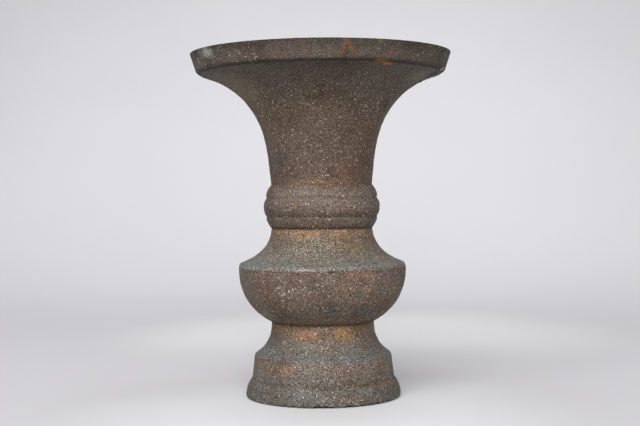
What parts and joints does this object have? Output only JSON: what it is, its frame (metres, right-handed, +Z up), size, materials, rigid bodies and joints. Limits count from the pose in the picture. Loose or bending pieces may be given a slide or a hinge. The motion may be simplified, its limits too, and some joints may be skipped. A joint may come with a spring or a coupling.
{
  "type": "flower vase",
  "caption": "Cast metal flower vase of gu form: wide flared mouth with an upright lip, ring of mouldings at the waist, ridged belly and stepped hollow foot.",
  "frame": {"origin": "centre of the foot's base, on the surface that the vase stands on", "axes": "+Z up along the turning axis of the vase; it is round, so +X and +Y are any two level directions, and the picture was taken looking along +Y"},
  "size_m": [0.1526, 0.1526, 0.2],
  "materials": {
    "foot_patina": "rough sand-cast skin, grey-brown patina with tan and blue-grey places",
    "belly_patina": "rough sand-cast skin, reddish-brown patina with pale crusty flecks",
    "shoulder_patina": "rough sand-cast skin, tan patina turning grey-green towards the ridge",
    "collar_patina": "rough sand-cast skin, grey-brown patina, dark in the grooves",
    "neck_patina": "sand-cast skin with pale specks, dark brown patina, warmer low down",
    "lip_patina": "smoother cast skin, dark brown patina with orange stains and a verdigris patch",
    "solder": "dull grey solder, lumpy and tarnished"
  },
  "bodies": {
    "root": {"foot": "foot_patina", "belly_bowl": "belly_patina", "floor_disc": "belly_patina", "shoulder": "shoulder_patina", "collar_ring": "collar_patina", "trumpet_neck": "neck_patina", "lip_band": "lip_patina", "foot_solder": "solder", "neck_solder": "solder", "belly_solder": "solder", "floor_solder": "solder", "lip_solder": "solder"}
  },
  "joints": []
}
